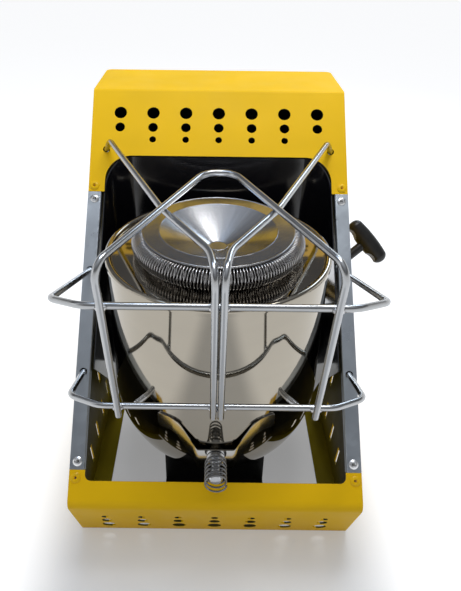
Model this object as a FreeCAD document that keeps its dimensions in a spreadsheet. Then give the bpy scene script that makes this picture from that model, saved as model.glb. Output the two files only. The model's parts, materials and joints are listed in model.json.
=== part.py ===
# Tabletop propane heater on a folded sheet stand: burner bowl facing up, wire guard, side valve.
# Axes: X to the right, Y to the back, Z up. Lengths are in millimetres. Everything is laid out from the
# middle of the front foot on the floor, and moved at the end so that the origin is under the burner.
import FreeCAD
import Part
import Sketcher
import math
import os

from FreeCAD import Placement, Rotation, Vector

DIMENSIONS = {
    # stand, seen from the side (y back, z up)
    "width": 193.0, "sheet": 1.2, "front_y": -22.8, "front_z": 53.6, "joint_y": 141.2,
    "joint_z": 203.5, "top_y": 199.3, "top_z": 263.0, "shelf": 67.6, "base_length": 248.0,
    "lip": 18.4, "lip_depth": 16.6, "ear": 23.6, "bend": 7.0, "bend_inside": 5.8, "flange": 14.0,
    # vent holes
    "hole_pitch": 25.0, "hole_large": 9.5, "hole_medium": 7.3, "hole_small": 5.0,
    # rails
    "rail_width": 8.6, "rail_lip": 5.0, "wire_hole": 5.2,
    # rear opening and heat shield
    "opening_half": 84.5, "opening_top": 54.4, "opening_radius": 19.5,
    "shield_half": 85.0, "shield_back": 162.6, "shield_sheet": 0.8, "shield_bottom": 24.0,
    # burner
    "burner_y": 78.0, "bowl_radius": 75.0, "bowl_centre": 90.0, "bowl_bottom": 30.0,
    "bowl_top": 188.0, "bowl_rim": 73.6, "bowl_sheet": 0.8, "ring_radius": 74.9, "ring_hole": 43.2,
    "ring_sheet": 1.2, "ring_lip": 4.5, "spreader_radius": 50.0, "spreader_inner": 38.4,
    "spreader_depth": 12.6, "spreader_z": 204.9, "head_radius": 42.8, "mesh_z": 180.0,
    "coil_radius": 49.2, "coil_minor": 6.2, "coil_wire": 1.0, "coil_turns": 90.0,
    # stand under the bowl
    "strap_width": 76.0, "strap_sheet": 1.2,
    # guard
    "wire": 4.0, "fence_top": 240.0,
    # handle
    "plate_half": 12.5, "plate_low": 66.5, "plate_high": 83.5,
    "handle_z": 77.0, "spring_diameter": 14.6, "spring_wire": 1.2, "spring_length": 20.0,
    "spring_turns": 6.0,
    # valve
    "knob_length": 41.0, "knob_end": 12.6, "stem": 6.0, "valve_body": 14.0,
}

doc = FreeCAD.newDocument("Heater")
sheet = doc.addObject("Spreadsheet::Sheet", "Sizes")
for row, (alias, value) in enumerate(DIMENSIONS.items(), start=1):
    sheet.set("A%d" % row, alias)
    sheet.set("B%d" % row, str(value))
    sheet.setAlias("B%d" % row, alias)
doc.recompute()


def size(alias):
    return float(sheet.get(alias))


def term(*parts, plus=0.0):
    """A sum of factor times named size, as its value and the expression that drives it."""
    value = plus
    text = "%g" % plus
    for factor, alias in zip(parts[0::2], parts[1::2]):
        value += factor * size(alias)
        text += " + %g * Sizes.%s" % (factor, alias)
    return value, text


nodes = []


def new_body(name):
    body = doc.addObject("PartDesign::Body", name)
    body.Label = name
    nodes.append(body)
    return body


def new_solid(name, shape, place=Placement()):
    item = doc.addObject("Part::Feature", name)
    item.Label = name
    item.Shape = shape
    item.Placement = place
    nodes.append(item)
    return item


def sketch_on(body, role, name, offset=Placement()):
    plane = [f for f in body.Origin.OriginFeatures if f.Role == role][0]
    sketch = body.newObject("Sketcher::SketchObject", name)
    sketch.AttachmentSupport = (plane, [""])
    sketch.MapMode = "FlatFace"
    sketch.AttachmentOffset = offset
    return sketch


def bind(sketch, kind, arguments, amount):
    """One dimension of a sketch, driven by the sheet where it has an expression."""
    value, text = amount if isinstance(amount, tuple) else (amount, None)
    index = sketch.addConstraint(Sketcher.Constraint(kind, *arguments, value))
    if text:
        sketch.setExpression("Constraints[%d]" % index, text)


def polygon(sketch, points):
    """A closed outline whose corners are held from the sketch origin."""
    first = sketch.GeometryCount
    count = len(points)
    numbers = [tuple(c[0] if isinstance(c, tuple) else c for c in p) for p in points]
    for i in range(count):
        a = Vector(numbers[i][0], numbers[i][1], 0)
        b = Vector(numbers[(i + 1) % count][0], numbers[(i + 1) % count][1], 0)
        sketch.addGeometry(Part.LineSegment(a, b), False)
    for i in range(count):
        following = first + (i + 1) % count
        sketch.addConstraint(Sketcher.Constraint("Coincident", first + i, 2, following, 1))
    for i in range(count):
        bind(sketch, "DistanceX", (-1, 1, first + i, 1), points[i][0])
        bind(sketch, "DistanceY", (-1, 1, first + i, 1), points[i][1])


def outline(sketch, points, arcs):
    """A closed outline of lines and arcs; arcs gives a point on the arc that follows a corner."""
    ends = []
    for i, start in enumerate(points):
        stop = points[(i + 1) % len(points)]
        a, b = Vector(start[0], start[1], 0), Vector(stop[0], stop[1], 0)
        if i in arcs:
            curve = Part.Arc(a, Vector(arcs[i][0], arcs[i][1], 0), b)
        else:
            curve = Part.LineSegment(a, b)
        index = sketch.addGeometry(curve, False)
        forward = sketch.getPoint(index, 1).distanceToPoint(a) < 1e-5
        ends.append((index, 1 if forward else 2, 2 if forward else 1))
    for i, (index, start, stop) in enumerate(ends):
        following, next_start, _ = ends[(i + 1) % len(ends)]
        sketch.addConstraint(Sketcher.Constraint("Coincident", index, stop, following, next_start))
        bind(sketch, "DistanceX", (-1, 1, index, start), points[i][0])
        bind(sketch, "DistanceY", (-1, 1, index, start), points[i][1])
        if i in arcs:
            bind(sketch, "Radius", (index,), sketch.Geometry[index].Radius)


def rectangle(sketch, x0, y0, x1, y1):
    polygon(sketch, [(x0, y0), (x1, y0), (x1, y1), (x0, y1)])


def circle(sketch, x, y, diameter):
    numbers = [c[0] if isinstance(c, tuple) else c for c in (x, y, diameter)]
    index = sketch.GeometryCount
    round_edge = Part.Circle(Vector(numbers[0], numbers[1], 0), Vector(0, 0, 1), numbers[2] / 2)
    sketch.addGeometry(round_edge, False)
    bind(sketch, "DistanceX", (-1, 1, index, 3), x)
    bind(sketch, "DistanceY", (-1, 1, index, 3), y)
    bind(sketch, "Diameter", (index,), diameter)


def pad(body, sketch, length, name, symmetric=False, reverse=False):
    feature = body.newObject("PartDesign::Pad", name)
    feature.Profile = sketch
    value, text = length if isinstance(length, tuple) else (length, None)
    feature.Length = value
    if text:
        feature.setExpression("Length", text)
    if symmetric:
        feature.SideType = "Symmetric"
    feature.Reversed = reverse
    doc.recompute()
    return feature


def cut(body, sketch, depth, name, symmetric=True, reverse=False):
    before = body.Shape.Volume
    feature = body.newObject("PartDesign::Pocket", name)
    feature.Profile = sketch
    value, text = depth if isinstance(depth, tuple) else (depth, None)
    feature.Length = value
    if text:
        feature.setExpression("Length", text)
    if symmetric:
        feature.SideType = "Symmetric"
    feature.Reversed = reverse
    doc.recompute()
    if body.Shape.Volume >= before - 1e-6:
        raise RuntimeError("%s removes nothing from %s" % (name, body.Label))
    return feature


def turned(body, sketch, name, angle=360.0):
    feature = body.newObject("PartDesign::Revolution", name)
    feature.Profile = sketch
    feature.ReferenceAxis = (sketch, ["V_Axis"])
    feature.Angle = angle
    doc.recompute()
    return feature


def rounded(body, base, chosen, radius, name):
    """A fillet on the edges of a feature that the test picks out."""
    names = ["Edge%d" % (i + 1) for i, e in enumerate(base.Shape.Edges) if chosen(e)]
    feature = body.newObject("PartDesign::Fillet", name)
    feature.Base = (base, names)
    value, text = radius if isinstance(radius, tuple) else (radius, None)
    feature.Radius = value
    if text:
        feature.setExpression("Radius", text)
    doc.recompute()
    return feature


WIDTH, SHEET = size("width"), size("sheet")
HALF = WIDTH / 2
FRONT = Vector(0, size("front_y"), size("front_z"))
JOINT = Vector(0, size("joint_y"), size("joint_z"))
TOP = Vector(0, size("top_y"), size("top_z"))
RAIL_ANGLE = math.degrees(math.atan2(JOINT.z - FRONT.z, JOINT.y - FRONT.y))
PANEL_ANGLE = math.degrees(math.atan2(TOP.z - JOINT.z, TOP.y - JOINT.y))
FOOT_ANGLE = math.degrees(math.atan2(-FRONT.z, -FRONT.y))
RAIL_LENGTH = (JOINT - FRONT).Length
PANEL_LENGTH = (TOP - JOINT).Length
FOOT_LENGTH = FRONT.Length
AXIS_X = Vector(1, 0, 0)
rail_dir = (JOINT - FRONT) * (1 / RAIL_LENGTH)
rail_out = Vector(0, -rail_dir.z, rail_dir.y)
panel_dir = (TOP - JOINT) * (1 / PANEL_LENGTH)
panel_out = Vector(0, -panel_dir.z, panel_dir.y)
on_rail = Placement(FRONT, Rotation(AXIS_X, RAIL_ANGLE))
on_panel = Placement(TOP, Rotation(AXIS_X, PANEL_ANGLE))


def polar(length, degrees):
    return length * math.cos(math.radians(degrees)), length * math.sin(math.radians(degrees))


RIVET_X = HALF - 4.4
RIVET_HOLE = 3.3
SHELF_CORNER = 5.0
PANEL_LOW = 112.0
# front cap: narrow lip in the plane of the rails, wide bend, and the foot panel with its vents
foot_local = FOOT_ANGLE - RAIL_ANGLE
front_cap = new_body("front_cap")
profile = sketch_on(front_cap, "YZ_Plane", "front_profile")
foot_y, foot_z = polar(FOOT_LENGTH, foot_local)
inner_y = SHEET / math.tan(math.radians(-foot_local / 2))
polygon(profile, [(term(1, "ear"), 0.0), (0.0, 0.0), (foot_y, foot_z),
                  (foot_y - SHEET * foot_z / FOOT_LENGTH, foot_z + SHEET * foot_y / FOOT_LENGTH),
                  (inner_y, term(-1, "sheet")), (term(1, "ear"), term(-1, "sheet"))])
blank = pad(front_cap, profile, term(1, "width"), "front_sheet", symmetric=True)


def along_x_at(y, z, tolerance=0.05):
    def test(edge):
        a, b = edge.Vertexes[0].Point, edge.Vertexes[-1].Point
        level = abs(a.y - y) < tolerance and abs(a.z - z) < tolerance
        return level and abs(b.y - y) < tolerance and abs(b.z - z) < tolerance and abs(a.x - b.x) > 1
    return test


blank = rounded(front_cap, blank, along_x_at(0, 0), term(1, "bend"), "front_bend_outside")
blank = rounded(front_cap, blank, along_x_at(inner_y, -SHEET), term(1, "bend_inside"),
                "front_bend_inside")
notch = sketch_on(front_cap, "XY_Plane", "front_notch")
rectangle(notch, term(-0.5, "width", plus=10.5), term(1, "lip_depth"), term(0.5, "width", plus=-10.5), 40.0)
blank = cut(front_cap, notch, 8.0, "front_notch_cut")


def upright_at(x, y, tolerance=0.05):
    def test(edge):
        a, b = edge.Vertexes[0].Point, edge.Vertexes[-1].Point
        level = abs(abs(a.x) - x) < tolerance and abs(a.y - y) < tolerance
        return level and abs(b.y - y) < tolerance and abs(a.z - b.z) > 0.5
    return test


rounded(front_cap, blank, upright_at(HALF - 10.5, size("lip_depth")), 4.0, "front_notch_corners")
front_rivets = sketch_on(front_cap, "XY_Plane", "front_rivet_holes")
for side in (-1, 1):
    circle(front_rivets, side * RIVET_X, term(1, "lip"), RIVET_HOLE)
cut(front_cap, front_rivets, 8.0, "front_rivet_cut")
foot_plane = Placement(Vector(), Rotation(AXIS_X, foot_local + 180))
ROWS = (("hole_large", 12.3, 3), ("hole_medium", 24.2, 3), ("hole_small", 34.0, 3))
vents = sketch_on(front_cap, "XY_Plane", "front_vents", foot_plane)
for alias, distance, reach in ROWS:
    for i in range(-reach, reach + 1):
        circle(vents, term(i, "hole_pitch"), distance - FOOT_LENGTH, term(1, alias))
cut(front_cap, vents, 6.0, "front_vent_cut")
front_cap.Placement = on_rail

# rear cap: sloping panel with vents round the shield opening, and the flat top shelf
rear_cap = new_body("rear_cap")
profile = sketch_on(rear_cap, "YZ_Plane", "rear_profile")
shelf_y, shelf_z = polar(size("shelf"), -PANEL_ANGLE)
inner_y = -SHEET / math.tan(math.radians((180 - PANEL_ANGLE) / 2))
polygon(profile, [(-PANEL_LENGTH, 0.0), (0.0, 0.0), (shelf_y, shelf_z),
                  (shelf_y + SHEET * shelf_z / size("shelf"),
                   shelf_z - SHEET * shelf_y / size("shelf")),
                  (inner_y, term(-1, "sheet")), (-PANEL_LENGTH, term(-1, "sheet"))])
blank = pad(rear_cap, profile, term(1, "width"), "rear_sheet", symmetric=True)
blank = rounded(rear_cap, blank, along_x_at(0, 0), 3.0, "rear_bend_outside")
blank = rounded(rear_cap, blank, along_x_at(inner_y, -SHEET), 1.8, "rear_bend_inside")
opening = sketch_on(rear_cap, "XY_Plane", "rear_opening")
rectangle(opening, term(-1, "opening_half"), -PANEL_LENGTH - 10, term(1, "opening_half"),
          term(-1, "opening_top"))
blank = cut(rear_cap, opening, 8.0, "rear_opening_cut")
rounded(rear_cap, blank, upright_at(size("opening_half"), -size("opening_top")),
        term(1, "opening_radius"), "rear_opening_corners")
blank = rear_cap.Tip


def shelf_corner(edge):
    a, b = edge.Vertexes[0].Point, edge.Vertexes[-1].Point
    middle = (a + b) * 0.5
    near = abs(middle.y - shelf_y) < 1.5 and abs(middle.z - shelf_z) < 1.5
    return near and abs(abs(middle.x) - HALF) < 0.05 and edge.Length < 2.0


rounded(rear_cap, blank, shelf_corner, SHELF_CORNER, "rear_shelf_corners")
vents = sketch_on(rear_cap, "XY_Plane", "rear_vents")
for alias, distance, reach in (("hole_large", 19.4, 3), ("hole_medium", 31.3, 3),
                               ("hole_small", 41.1, 2)):
    for i in range(-reach, reach + 1):
        circle(vents, term(i, "hole_pitch"), -distance, term(1, alias))
for side in (-1, 1):
    circle(vents, side * 84.5, -49.5, term(1, "wire_hole"))
    circle(vents, side * RIVET_X, -78.6, RIVET_HOLE)
cut(rear_cap, vents, 6.0, "rear_vent_cut")
rear_cap.Placement = on_panel

# side walls: upright sheets with an inward foot flange, slots and two pairs of riveting tabs
front_inner = FRONT - rail_out * SHEET + rail_dir * (SHEET / math.tan(math.radians(-foot_local / 2)))
foot_dir = Vector(0, FRONT.y, FRONT.z) * (-1 / FOOT_LENGTH)
bend_reach = size("bend_inside") * math.tan(math.radians((180 + foot_local) / 2)) + 0.2
nose_low = front_inner + foot_dir * bend_reach
nose_high = front_inner + rail_dir * bend_reach
foot_in = SHEET / math.sin(math.radians(-FOOT_ANGLE))
joint_low = JOINT - panel_out * SHEET
top_low = TOP - panel_out * SHEET - panel_dir * (SHEET * math.tan(math.radians(PANEL_ANGLE / 2)))
rail_start = FRONT + rail_dir * (size("ear") + 0.1)
below_rail = FRONT + rail_dir * (RAIL_LENGTH - 0.1) - rail_out * SHEET
below_ear = rail_start - rail_out * SHEET


def side_wall(name, side):
    body = new_body(name)
    low_x = term(0.5, "width", -1, "sheet") if side > 0 else term(-0.5, "width")
    outline = sketch_on(body, "YZ_Plane", name + "_outline", Placement(Vector(0, 0, low_x[0]), Rotation()))
    outline.setExpression("AttachmentOffset.Base.z", low_x[1])
    polygon(outline, [(foot_in, 0.0), (nose_low.y, nose_low.z), (nose_high.y, nose_high.z),
                      (below_ear.y, below_ear.z), (below_rail.y, below_rail.z), (joint_low.y, joint_low.z),
                      (top_low.y - panel_dir.y, top_low.z - panel_dir.z), (top_low.y + 1.0, top_low.z),
                      (term(1, "top_y", 1, "shelf", plus=-SHELF_CORNER - 0.6), term(1, "top_z", -1, "sheet")),
                      (term(1, "base_length"), 0.0)])
    pad(body, outline, term(1, "sheet"), name + "_sheet")
    outer = term(0.5 * side, "width", -side, "sheet")
    foot = sketch_on(body, "XY_Plane", name + "_foot_outline")
    rectangle(foot, term(0.5 * side, "width", -side, "sheet", -side, "flange"), 4.0,
              outer, term(1, "base_length", plus=-4.0))
    pad(body, foot, term(1, "sheet"), name + "_foot")
    tab_inner = side * (HALF - SHEET - size("rail_width") + SHEET + 0.4)
    for tag, place, low, high in (("front", on_rail, 12.0, 34.0), ("middle", on_rail, 208.0, 221.0),
                                  ("rear", on_panel, -82.5, -73.0)):
        tab = sketch_on(body, "XY_Plane", name + "_tab_" + tag,
                        place * Placement(Vector(0, 0, -SHEET), Rotation()))
        rectangle(tab, tab_inner, low, outer, high)
        pad(body, tab, term(1, "sheet"), name + "_tab_pad_" + tag, reverse=True)
    slots = sketch_on(body, "YZ_Plane", name + "_slots",
                      Placement(Vector(0, 0, side * (HALF - SHEET / 2)), Rotation()))
    for low, columns in ((14.0, range(8)), (52.0, range(2, 8))):
        for column in columns:
            y = 48.0 + 25.0 * column
            polygon(slots, [(y + 0.5, low), (y + 5.1, low), (y + 1.6, low + 20.0), (y - 3.0, low + 20.0)])
    cut(body, slots, 6.0, name + "_slot_cut")
    for tag, place, y in (("rail_front", on_rail, 28.9), ("rail_rear", on_rail, 216.5),
                          ("cap_front", on_rail, size("lip")), ("cap_rear", on_panel, -78.6)):
        x = side * (RAIL_HOLE_X if tag.startswith("rail") else RIVET_X)
        hole = sketch_on(body, "XY_Plane", name + "_hole_" + tag,
                         place * Placement(Vector(0, 0, -1.5 * SHEET), Rotation()))
        circle(hole, x, y, RIVET_HOLE)
        cut(body, hole, 2.0, name + "_hole_cut_" + tag)
    return body


RAIL_HOLE_X = HALF - 5.1
left_wall = side_wall("left_side_wall", -1)
right_wall = side_wall("right_side_wall", 1)

# rear panel: dark sheet along the slanted back edge of the walls, turned forward under the shelf
panel = new_body("rear_panel")
profile = sketch_on(panel, "YZ_Plane", "rear_panel_profile")
back_low = Vector(0, size("base_length"), 0)
back_high = Vector(0, size("top_y") + size("shelf") - SHELF_CORNER - 0.6, size("top_z") - SHEET)
lean = (back_high - back_low).normalize()


def back_point(height, inward):
    spot = back_low + lean * ((height - back_low.z) / lean.z)
    return (spot.y - inward, height)


under_shelf = size("top_z") - SHEET
polygon(profile, [back_point(PANEL_LOW, 2.0), back_point(under_shelf, 2.0), back_point(under_shelf, 14.0),
                  back_point(under_shelf - 1.0, 14.0), back_point(under_shelf - 1.0, 3.0),
                  back_point(PANEL_LOW, 3.0)])
pad(panel, profile, term(1, "width", -2, "sheet"), "rear_panel_sheet", symmetric=True)

# valve axis: it leaves the right wall rising outward and to the back
valve_s = Vector(0.777, 0.346, 0.526).normalize()
valve_u = (AXIS_X - valve_s * AXIS_X.dot(valve_s)).normalize()
valve_v = valve_s.cross(valve_u)
valve_origin = Vector(HALF - SHEET, 155.2, 129.85)
on_valve = Placement(valve_origin, Rotation(valve_u, valve_v, valve_s, "ZXY"))


def at_valve(u, v, s):
    return valve_origin + valve_u * u + valve_v * v + valve_s * s


ports = sketch_on(right_wall, "YZ_Plane", "valve_ports", Placement(Vector(0, 0, HALF - SHEET / 2), Rotation()))
circle(ports, valve_origin.y + 0.25, valve_origin.z + 0.4, 10.4)
bracket_rivets = [at_valve(14.08 + 6.2 - 0.5, v, -11.4 - 5.0 - 0.6) for v in (-5.0, 5.0)]
for spot in bracket_rivets:
    circle(ports, spot.y, spot.z, RIVET_HOLE)
cut(right_wall, ports, 6.0, "valve_port_cut")


def lengthwise_at(x, z):
    def test(edge):
        a, b = edge.Vertexes[0].Point, edge.Vertexes[-1].Point
        level = abs(a.x - x) < 0.02 and abs(b.x - x) < 0.02 and abs(a.z - z) < 0.02
        return level and abs(b.z - z) < 0.02 and abs(a.y - b.y) > 10
    return test


def rail(name, side):
    """Folded strip over the edge of a wall, its inner edge turned down."""
    body = new_body(name)
    outer = side * HALF
    inner = outer - side * (size("rail_width") + SHEET)
    sheet_step = SHEET * side
    profile = sketch_on(body, "XZ_Plane", name + "_profile",
                        Placement(Vector(0, 0, -(size("ear") + 0.1)), Rotation()))
    polygon(profile, [(outer, 0.0), (inner, 0.0), (inner, term(-1, "rail_lip")),
                      (inner + sheet_step, term(-1, "rail_lip")), (inner + sheet_step, term(-1, "sheet")),
                      (outer, term(-1, "sheet"))])
    blank = pad(body, profile, RAIL_LENGTH - 0.2 - size("ear"), name + "_strip", reverse=True)
    rounded(body, blank, lengthwise_at(inner, 0.0), 1.0, name + "_bend")
    holes = sketch_on(body, "XY_Plane", name + "_holes")
    for distance in (88.3, 161.4):
        circle(holes, side * RAIL_HOLE_X, distance, term(1, "wire_hole"))
    for distance in (28.9, 216.5):
        circle(holes, side * RAIL_HOLE_X, distance, RIVET_HOLE)
    cut(body, holes, 4.0, name + "_hole_cut")
    body.Placement = on_rail


rail("left_rail", -1)
rail("right_rail", 1)


def rivet(name, place, head, grip):
    """Blind rivet: low flange with a hollow core, its shank, and the set head below."""
    body = new_body(name)
    section = sketch_on(body, "XZ_Plane", name + "_section")
    shank = RIVET_HOLE / 2
    polygon(section, [(0.8, 0.4), (1.5, 1.1), (head / 2 - 1.0, 0.9), (head / 2, 0.3), (head / 2, 0.0),
                      (shank, 0.0), (shank, -grip), (shank + 0.8, -grip - 0.3), (shank + 0.5, -grip - 1.2),
                      (0.8, -grip - 1.2)])
    turned(body, section, name + "_turned")
    body.Placement = place


GRIP = 2 * SHEET
for tag, side in (("left", -1), ("right", 1)):
    for end, distance in (("front", 28.9), ("rear", 216.5)):
        spot = Placement(Vector(side * RAIL_HOLE_X, distance, 0), Rotation())
        rivet("rail_rivet_%s_%s" % (end, tag), on_rail * spot, 6.4, GRIP)
    front_spot = Placement(Vector(side * RIVET_X, size("lip"), 0), Rotation())
    rear_spot = Placement(Vector(side * RIVET_X, -78.6, 0), Rotation())
    rivet("cap_rivet_front_" + tag, on_rail * front_spot, 7.0, GRIP)
    rivet("cap_rivet_rear_" + tag, on_panel * rear_spot, 7.0, GRIP)

# heat shield: glossy wall round the back and sides of the bowl, cut to the slope of the stand
shield = new_body("heat_shield")
base = Placement(Vector(0, 0, size("shield_bottom")), Rotation())
plan = sketch_on(shield, "XY_Plane", "shield_plan", base)
rectangle(plan, term(-1, "shield_half"), 44.0, term(1, "shield_half"), term(1, "shield_back"))
solid = pad(shield, plan, 240.0, "shield_block")
solid = rounded(shield, solid, upright_at(size("shield_half"), size("shield_back")), 20.0, "shield_corners")
hollow = sketch_on(shield, "XY_Plane", "shield_hollow", base)
inside_back = size("shield_back") - size("shield_sheet")
inside_half = size("shield_half") - size("shield_sheet")
CORNER = 19.2
knee = CORNER * (1 - math.sqrt(0.5))
outline(hollow, [(-inside_half, 30.0), (inside_half, 30.0), (inside_half, inside_back - CORNER),
                 (inside_half - CORNER, inside_back), (CORNER - inside_half, inside_back),
                 (-inside_half, inside_back - CORNER)],
        {2: (inside_half - knee, inside_back - knee), 4: (knee - inside_half, inside_back - knee)})
cut(shield, hollow, 240.0, "shield_hollow_cut", symmetric=False, reverse=True)
slope = sketch_on(shield, "YZ_Plane", "shield_slope")
rail_foot = FRONT - rail_out * (SHEET + 0.05)
panel_foot = JOINT - panel_out * (SHEET + 0.05)
panel_head = TOP - panel_out * (SHEET + 0.05)
polygon(slope, [(rail_foot.y, rail_foot.z), (panel_foot.y, panel_foot.z), (panel_head.y, panel_head.z),
                (panel_head.y, 400.0), (rail_foot.y, 400.0)])
cut(shield, slope, 300.0, "shield_slope_cut")
under = sketch_on(shield, "YZ_Plane", "shield_under")
polygon(under, [(30.0, 130.0), (76.0, 79.0), (95.0, 59.0), (114.0, 29.0), (118.0, 10.0), (30.0, 10.0)])
cut(shield, under, 300.0, "shield_under_cut")
window = sketch_on(shield, "YZ_Plane", "shield_window", Placement(Vector(0, 0, 62.0), Rotation()))
rectangle(window, 134.0, 92.0, 175.0, 139.0)
cut(shield, window, 40.0, "shield_window_cut", symmetric=False, reverse=True)


def round_bar(name, radius, length, place, bore=0.0):
    """Plain round part along its own z, with an optional bore."""
    body = new_body(name)
    section = sketch_on(body, "XZ_Plane", name + "_section")
    polygon(section, [(bore, 0.0), (radius, 0.0), (radius, length), (bore, length)])
    turned(body, section, name + "_turned")
    body.Placement = place
    return body


facing_x = Rotation(Vector(0, 1, 0), 90)
gap_to_wall = HALF - SHEET - size("shield_half")
for tag, x in (("left", -HALF + SHEET), ("right", size("shield_half"))):
    for end, z in (("low", 84.0), ("high", 156.0)):
        place = Placement(Vector(x, 112.0, z), facing_x)
        round_bar("shield_spacer_%s_%s" % (end, tag), 4.0, gap_to_wall, place, 1.6)

# floor strap with its front tab on the foot panel, rear tie, and the stand under the bowl
strap = new_body("base_strap")
profile = sketch_on(strap, "YZ_Plane", "strap_profile")
THIN = size("strap_sheet")
up_foot = foot_dir * -1
tab_top = Vector(0, foot_in, 0) + up_foot * 12.0
tab_back = tab_top + Vector(0, up_foot.z, -up_foot.y) * THIN
polygon(profile, [(foot_in, 0.0), (tab_top.y, tab_top.z), (tab_back.y, tab_back.z),
                  (foot_in + THIN * 0.66 + 0.15, term(1, "strap_sheet")), (232.0, term(1, "strap_sheet")),
                  (232.0, 0.0)])
pad(strap, profile, term(1, "strap_width"), "strap_pad", symmetric=True)

tie = new_body("rear_tie")
profile = sketch_on(tie, "YZ_Plane", "tie_profile")
polygon(profile, [(212.0, THIN), (232.0, THIN), (232.0, 16.0), (230.8, 16.0), (230.8, 2 * THIN),
                  (212.0, 2 * THIN)])
pad(tie, profile, term(1, "width", -2, "sheet"), "tie_pad", symmetric=True)

BURNER = Vector(0, size("burner_y"), 0)
on_burner = Placement(BURNER, Rotation())
FLOOR = size("bowl_bottom")
stand = new_body("bowl_stand")
profile = sketch_on(stand, "YZ_Plane", "stand_profile")
polygon(profile, [(34.0, THIN), (45.2, THIN), (45.2, FLOOR - THIN), (110.8, FLOOR - THIN), (110.8, THIN),
                  (122.0, THIN), (122.0, 2 * THIN), (112.0, 2 * THIN), (112.0, FLOOR), (44.0, FLOOR),
                  (44.0, 2 * THIN), (34.0, 2 * THIN)])
pad(stand, profile, term(1, "strap_width"), "stand_pad", symmetric=True)
top_holes = sketch_on(stand, "XY_Plane", "stand_holes", Placement(Vector(0, 0, FLOOR), Rotation()))
circle(top_holes, 0.0, term(1, "burner_y"), 26.4)
for side in (-1, 1):
    circle(top_holes, side * 30.0, term(1, "burner_y"), RIVET_HOLE)
cut(stand, top_holes, 6.0, "stand_top_cut")
pipe_hole = sketch_on(stand, "XZ_Plane", "stand_pipe_hole", Placement(Vector(0, 0, -111.4), Rotation()))
circle(pipe_hole, 0.0, 9.0, 7.0)
cut(stand, pipe_hole, 4.0, "stand_pipe_cut")

# bowl: polished shell, nearly straight above, round below, flat where it stands
bowl = new_body("burner_bowl")
section = sketch_on(bowl, "XZ_Plane", "bowl_section")
RADIUS, CENTRE, SKIN = size("bowl_radius"), size("bowl_centre"), size("bowl_sheet")
inner_radius = RADIUS - SKIN


def ball(radius, z):
    return math.sqrt(radius ** 2 - (z - CENTRE) ** 2), z


middle_z = CENTRE - RADIUS * math.sin(math.radians(26))
rim = (size("bowl_rim"), size("bowl_top"))
corners = [(13.2, FLOOR), ball(RADIUS, FLOOR), (RADIUS, CENTRE), rim, (rim[0] - SKIN, rim[1]),
           (inner_radius, CENTRE), ball(inner_radius, FLOOR + SKIN), (13.2, FLOOR + SKIN)]
arcs = {1: ball(RADIUS, middle_z), 5: ball(inner_radius, middle_z)}
outline(section, corners, arcs)
turned(bowl, section, "bowl_shell")
bottom_holes = sketch_on(bowl, "XY_Plane", "bowl_rivet_holes", Placement(Vector(0, 0, FLOOR), Rotation()))
for side in (-1, 1):
    circle(bottom_holes, side * 30.0, 0.0, RIVET_HOLE)
cut(bowl, bottom_holes, 6.0, "bowl_rivet_cut")
bowl.Placement = on_burner
for tag, side in (("left", -1), ("right", 1)):
    rivet("bowl_rivet_" + tag, on_burner * Placement(Vector(side * 30.0, 0, FLOOR + SKIN), Rotation()),
          7.0, SKIN + THIN)

# ring plate with a beaded edge, resting on the rim of the bowl
ring = new_body("ring_plate")
section = sketch_on(ring, "XZ_Plane", "ring_section")
outer, level = size("ring_radius"), size("bowl_top") + 1.0
polygon(section, [(term(1, "ring_hole"), level), (outer - size("ring_lip"), level),
                  (outer - size("ring_lip"), rim[1]), (term(1, "ring_radius"), rim[1]),
                  (term(1, "ring_radius"), rim[1] + 4.4), (outer - size("ring_lip"), rim[1] + 4.4),
                  (outer - size("ring_lip"), level + SHEET), (term(1, "ring_hole"), level + SHEET)])
solid = turned(ring, section, "ring_turned")


def round_edge_at(radius, z):
    def test(edge):
        curve = edge.Curve
        if not hasattr(curve, "Radius"):
            return False
        return abs(curve.Radius - radius) < 0.05 and abs(edge.Vertexes[0].Point.z - z) < 0.05
    return test


solid = rounded(ring, solid, round_edge_at(outer, rim[1] + 4.4), 2.0, "ring_bead_outside")
rounded(ring, solid, round_edge_at(outer - size("ring_lip"), rim[1] + 4.4), 2.0, "ring_bead_inside")
ring.Placement = on_burner
RING_TOP = level + SHEET

# burner head: drum inside the ring, perforated plate, tube down through the bowl, jet below
head = new_body("burner_head")
section = sketch_on(head, "XZ_Plane", "head_section")
drum = size("head_radius")
polygon(section, [(12.0, 166.0), (term(1, "head_radius"), 166.0), (term(1, "head_radius"), RING_TOP - 0.4),
                  (drum - 1.0, RING_TOP - 0.4), (drum - 1.0, 167.0), (12.0, 167.0)])
turned(head, section, "head_turned")
head.Placement = on_burner

MESH = size("mesh_z")
mesh = new_body("burner_mesh")
section = sketch_on(mesh, "XZ_Plane", "mesh_section")
polygon(section, [(0.0, MESH), (drum - 1.0, MESH), (drum - 1.0, MESH + 3.0), (0.0, MESH + 3.0)])
turned(mesh, section, "mesh_turned")
jets = sketch_on(mesh, "XY_Plane", "mesh_holes", Placement(Vector(0, 0, MESH + 1.5), Rotation()))
for radius, count in ((12.0, 8), (20.0, 14), (28.0, 20)):
    for i in range(count):
        x, y = polar(radius, 360.0 * i / count)
        circle(jets, x, y, 3.0)
cut(mesh, jets, 8.0, "mesh_hole_cut")
mesh.Placement = on_burner

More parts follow.
